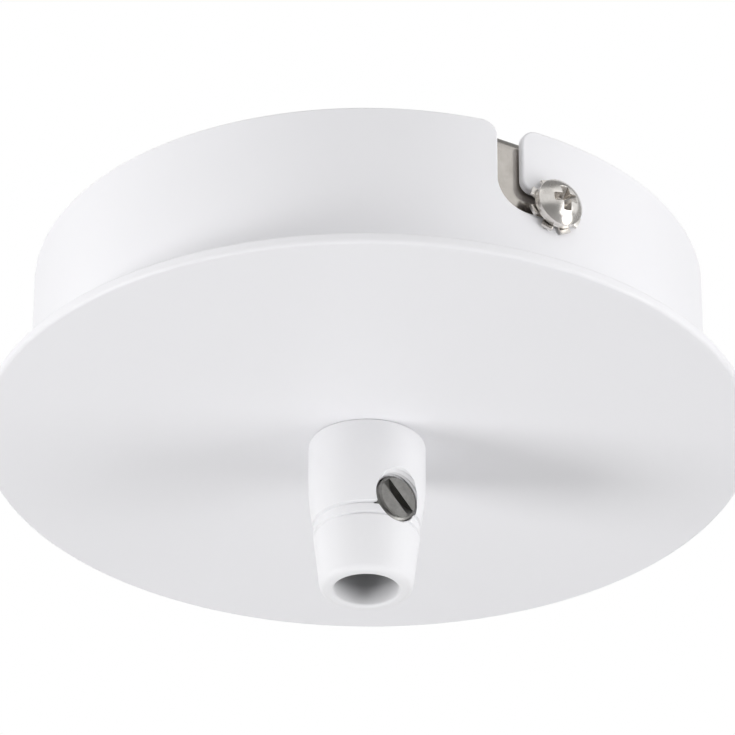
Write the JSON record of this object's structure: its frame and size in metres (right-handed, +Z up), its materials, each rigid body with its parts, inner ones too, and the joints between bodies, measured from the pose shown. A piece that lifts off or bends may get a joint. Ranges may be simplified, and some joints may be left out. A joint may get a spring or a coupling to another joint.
{
  "type": "electrical ceiling rose",
  "caption": "White metal ceiling rose: a flat cover disc under a drum cup with bayonet slots, on a strap bracket with terminals, and a moulded cord grip below.",
  "frame": {"origin": "centre of the ceiling plane, on the bracket's top face", "axes": "+Z up into the ceiling, X along the bracket towards one side screw"},
  "size_m": [0.1, 0.1, 0.0448],
  "materials": {
    "white_paint": "fine matte powder coat",
    "white_nylon": "satin moulded",
    "terminal_plastic": "translucent moulded",
    "bright_nickel": "bright plated",
    "zinc_steel": "zinc plated",
    "dark_steel": "plain steel",
    "brass": "turned",
    "tinned_brass": "tinned"
  },
  "bodies": {
    "bracket": {"ceiling_bracket": "bright_nickel", "terminal_housing": "terminal_plastic", "terminal_sleeve_live": "brass", "terminal_sleeve_neutral": "brass", "terminal_sleeve_earth": "brass", "fixing_screw_right": "zinc_steel", "fixing_screw_left": "zinc_steel", "earth_screw": "brass", "earth_washer": "brass"},
    "canopy": {"canopy_cup": "white_paint", "cover_disc": "white_paint", "threaded_nipple": "zinc_steel", "nipple_washer": "zinc_steel", "earth_tag": "tinned_brass", "nipple_nut": "zinc_steel", "cord_grip": "white_nylon"},
    "grip_screw": {"grip_screw": "dark_steel"},
    "right_washer": {"side_washer_right": "bright_nickel"},
    "right_screw": {"side_screw_right": "bright_nickel"},
    "left_washer": {"side_washer_left": "bright_nickel"},
    "left_screw": {"side_screw_left": "bright_nickel"},
    "clamp_screw_live_supply": {"clamp_screw_live_supply": "zinc_steel"},
    "clamp_screw_live_flex": {"clamp_screw_live_flex": "zinc_steel"},
    "clamp_screw_neutral_supply": {"clamp_screw_neutral_supply": "zinc_steel"},
    "clamp_screw_neutral_flex": {"clamp_screw_neutral_flex": "zinc_steel"},
    "clamp_screw_earth_supply": {"clamp_screw_earth_supply": "zinc_steel"},
    "clamp_screw_earth_flex": {"clamp_screw_earth_flex": "zinc_steel"}
  },
  "joints": [
    {"name": "canopy_twist", "type": "hinge", "parent": "bracket", "child": "canopy", "pos_m": [0, 0, 0], "axis": [0, 0, 1], "range_deg": [0, 5.5]},
    {"name": "grip_screw_travel", "type": "slide", "parent": "canopy", "child": "grip_screw", "axis": [-0.9962, -0.0872, 0], "range_m": [0, 0.0026]},
    {"name": "right_screw_travel", "type": "slide", "parent": "bracket", "child": "right_washer", "axis": [1, 0, 0], "range_m": [0, 0.001]},
    {"name": "right_screw_turn", "type": "hinge", "parent": "right_washer", "child": "right_screw", "pos_m": [0.0448, 0, -0.0108], "axis": [1, 0, 0], "range_deg": [0, 720.3]},
    {"name": "left_screw_travel", "type": "slide", "parent": "bracket", "child": "left_washer", "axis": [-1, 0, 0], "range_m": [0, 0.001]},
    {"name": "left_screw_turn", "type": "hinge", "parent": "left_washer", "child": "left_screw", "pos_m": [-0.0448, 0, -0.0108], "axis": [-1, 0, 0], "range_deg": [0, 720.3]},
    {"name": "clamp_screw_live_supply_travel", "type": "slide", "parent": "bracket", "child": "clamp_screw_live_supply", "axis": [0, 0, 1], "range_m": [0, 0.0022]},
    {"name": "clamp_screw_live_flex_travel", "type": "slide", "parent": "bracket", "child": "clamp_screw_live_flex", "axis": [0, 0, 1], "range_m": [0, 0.0022]},
    {"name": "clamp_screw_neutral_supply_travel", "type": "slide", "parent": "bracket", "child": "clamp_screw_neutral_supply", "axis": [0, 0, 1], "range_m": [0, 0.0022]},
    {"name": "clamp_screw_neutral_flex_travel", "type": "slide", "parent": "bracket", "child": "clamp_screw_neutral_flex", "axis": [0, 0, 1], "range_m": [0, 0.0022]},
    {"name": "clamp_screw_earth_supply_travel", "type": "slide", "parent": "bracket", "child": "clamp_screw_earth_supply", "axis": [0, 0, 1], "range_m": [0, 0.0022]},
    {"name": "clamp_screw_earth_flex_travel", "type": "slide", "parent": "bracket", "child": "clamp_screw_earth_flex", "axis": [0, 0, 1], "range_m": [0, 0.0022]}
  ],
  "couplings": [
    {"joint": "right_screw_turn", "follows": "right_screw_travel", "rad_per_m": 12566},
    {"joint": "left_screw_turn", "follows": "left_screw_travel", "rad_per_m": 12566}
  ]
}
